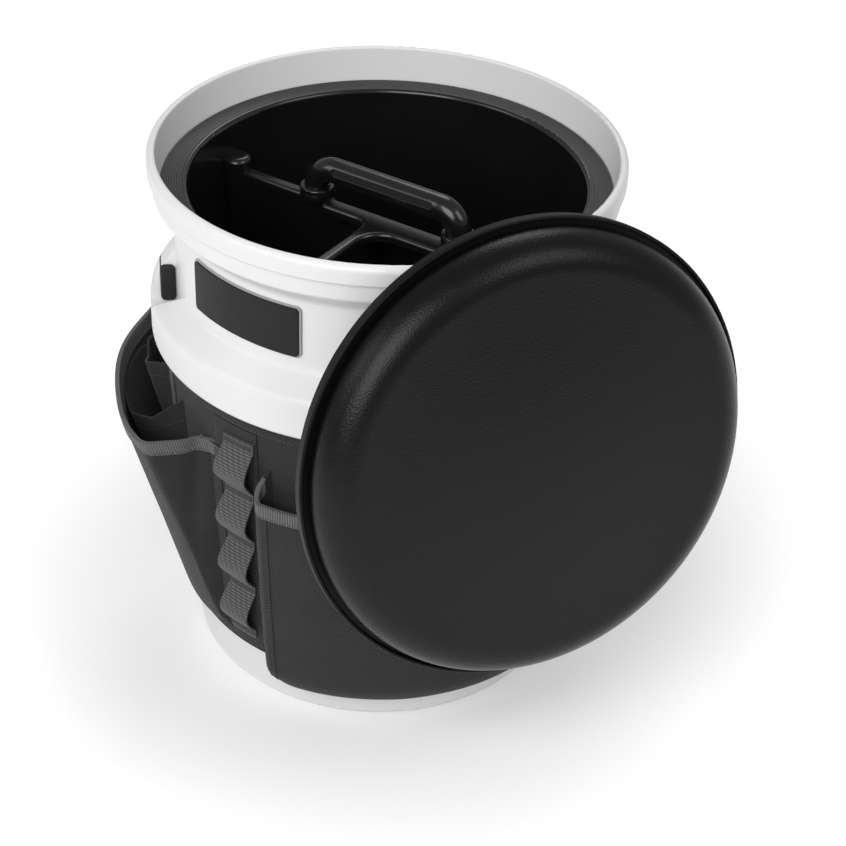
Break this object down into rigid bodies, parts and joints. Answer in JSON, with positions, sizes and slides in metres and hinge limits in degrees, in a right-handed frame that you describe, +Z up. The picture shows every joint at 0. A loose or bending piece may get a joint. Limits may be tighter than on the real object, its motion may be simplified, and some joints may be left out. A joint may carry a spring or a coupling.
{
  "type": "utility bucket",
  "caption": "Moulded bucket with an overhanging shoulder, a tool belt of pouches and webbing loops, a lift-out caddy with a handle and a padded seat lid leaning on its rim.",
  "frame": {"origin": "centre of the bucket's flat bottom, on the floor", "axes": "+Z up along the bucket's axis, -Y towards the front that the picture shows, +X to the right"},
  "size_m": [0.4055, 0.393, 0.3941],
  "materials": {
    "white_plastic": "satin moulded white",
    "black_rubber": "soft black",
    "badge_grey": "grey edge, no lettering",
    "badge_black": "bare black face",
    "belt_fabric": "black woven pack cloth",
    "binding_tape": "ribbed dark grey tape",
    "hook_strip": "hook-and-loop strip",
    "webbing": "black woven webbing",
    "caddy_plastic": "gloss black moulding",
    "lid_plastic": "satin black moulding",
    "lid_rubber": "black rubber",
    "seat_foam": "moulded black foam skin"
  },
  "bodies": {
    "bucket": {"bucket_shell": "white_plastic", "foot_ring": "black_rubber", "ear_plug_left": "black_rubber", "ear_plug_right": "black_rubber", "badge_backing": "badge_grey", "badge_face": "badge_black", "belt_wrap": "belt_fabric", "belt_top_binding": "binding_tape", "closure_strip": "hook_strip", "closure_flap": "belt_fabric", "front_pouch": "belt_fabric", "front_pouch_binding": "binding_tape", "left_webbing_backing": "belt_fabric", "left_webbing_ladder": "webbing", "left_pouch": "belt_fabric", "left_pouch_binding": "binding_tape", "left_pouch_pocket": "belt_fabric", "left_pouch_sleeve": "belt_fabric", "right_webbing_backing": "belt_fabric", "right_webbing_ladder": "webbing", "right_pouch": "belt_fabric", "right_pouch_binding": "binding_tape", "right_pouch_pocket": "belt_fabric", "right_pouch_sleeve": "belt_fabric"},
    "caddy": {"caddy_tray": "caddy_plastic", "caddy_handle": "caddy_plastic", "caddy_handle_collars": "caddy_plastic"},
    "lid": {"lid_shell": "lid_plastic", "lid_edge_ring": "lid_rubber", "lid_gasket": "lid_rubber", "lid_seat_pad": "seat_foam"}
  },
  "joints": [
    {"name": "caddy_lift", "type": "slide", "parent": "bucket", "child": "caddy", "axis": [0, 0, 1], "range_m": [0, 0.16]},
    {"name": "lid_lift", "type": "slide", "parent": "bucket", "child": "lid", "axis": [0, 0, 1], "range_m": [0, 0.3]}
  ]
}
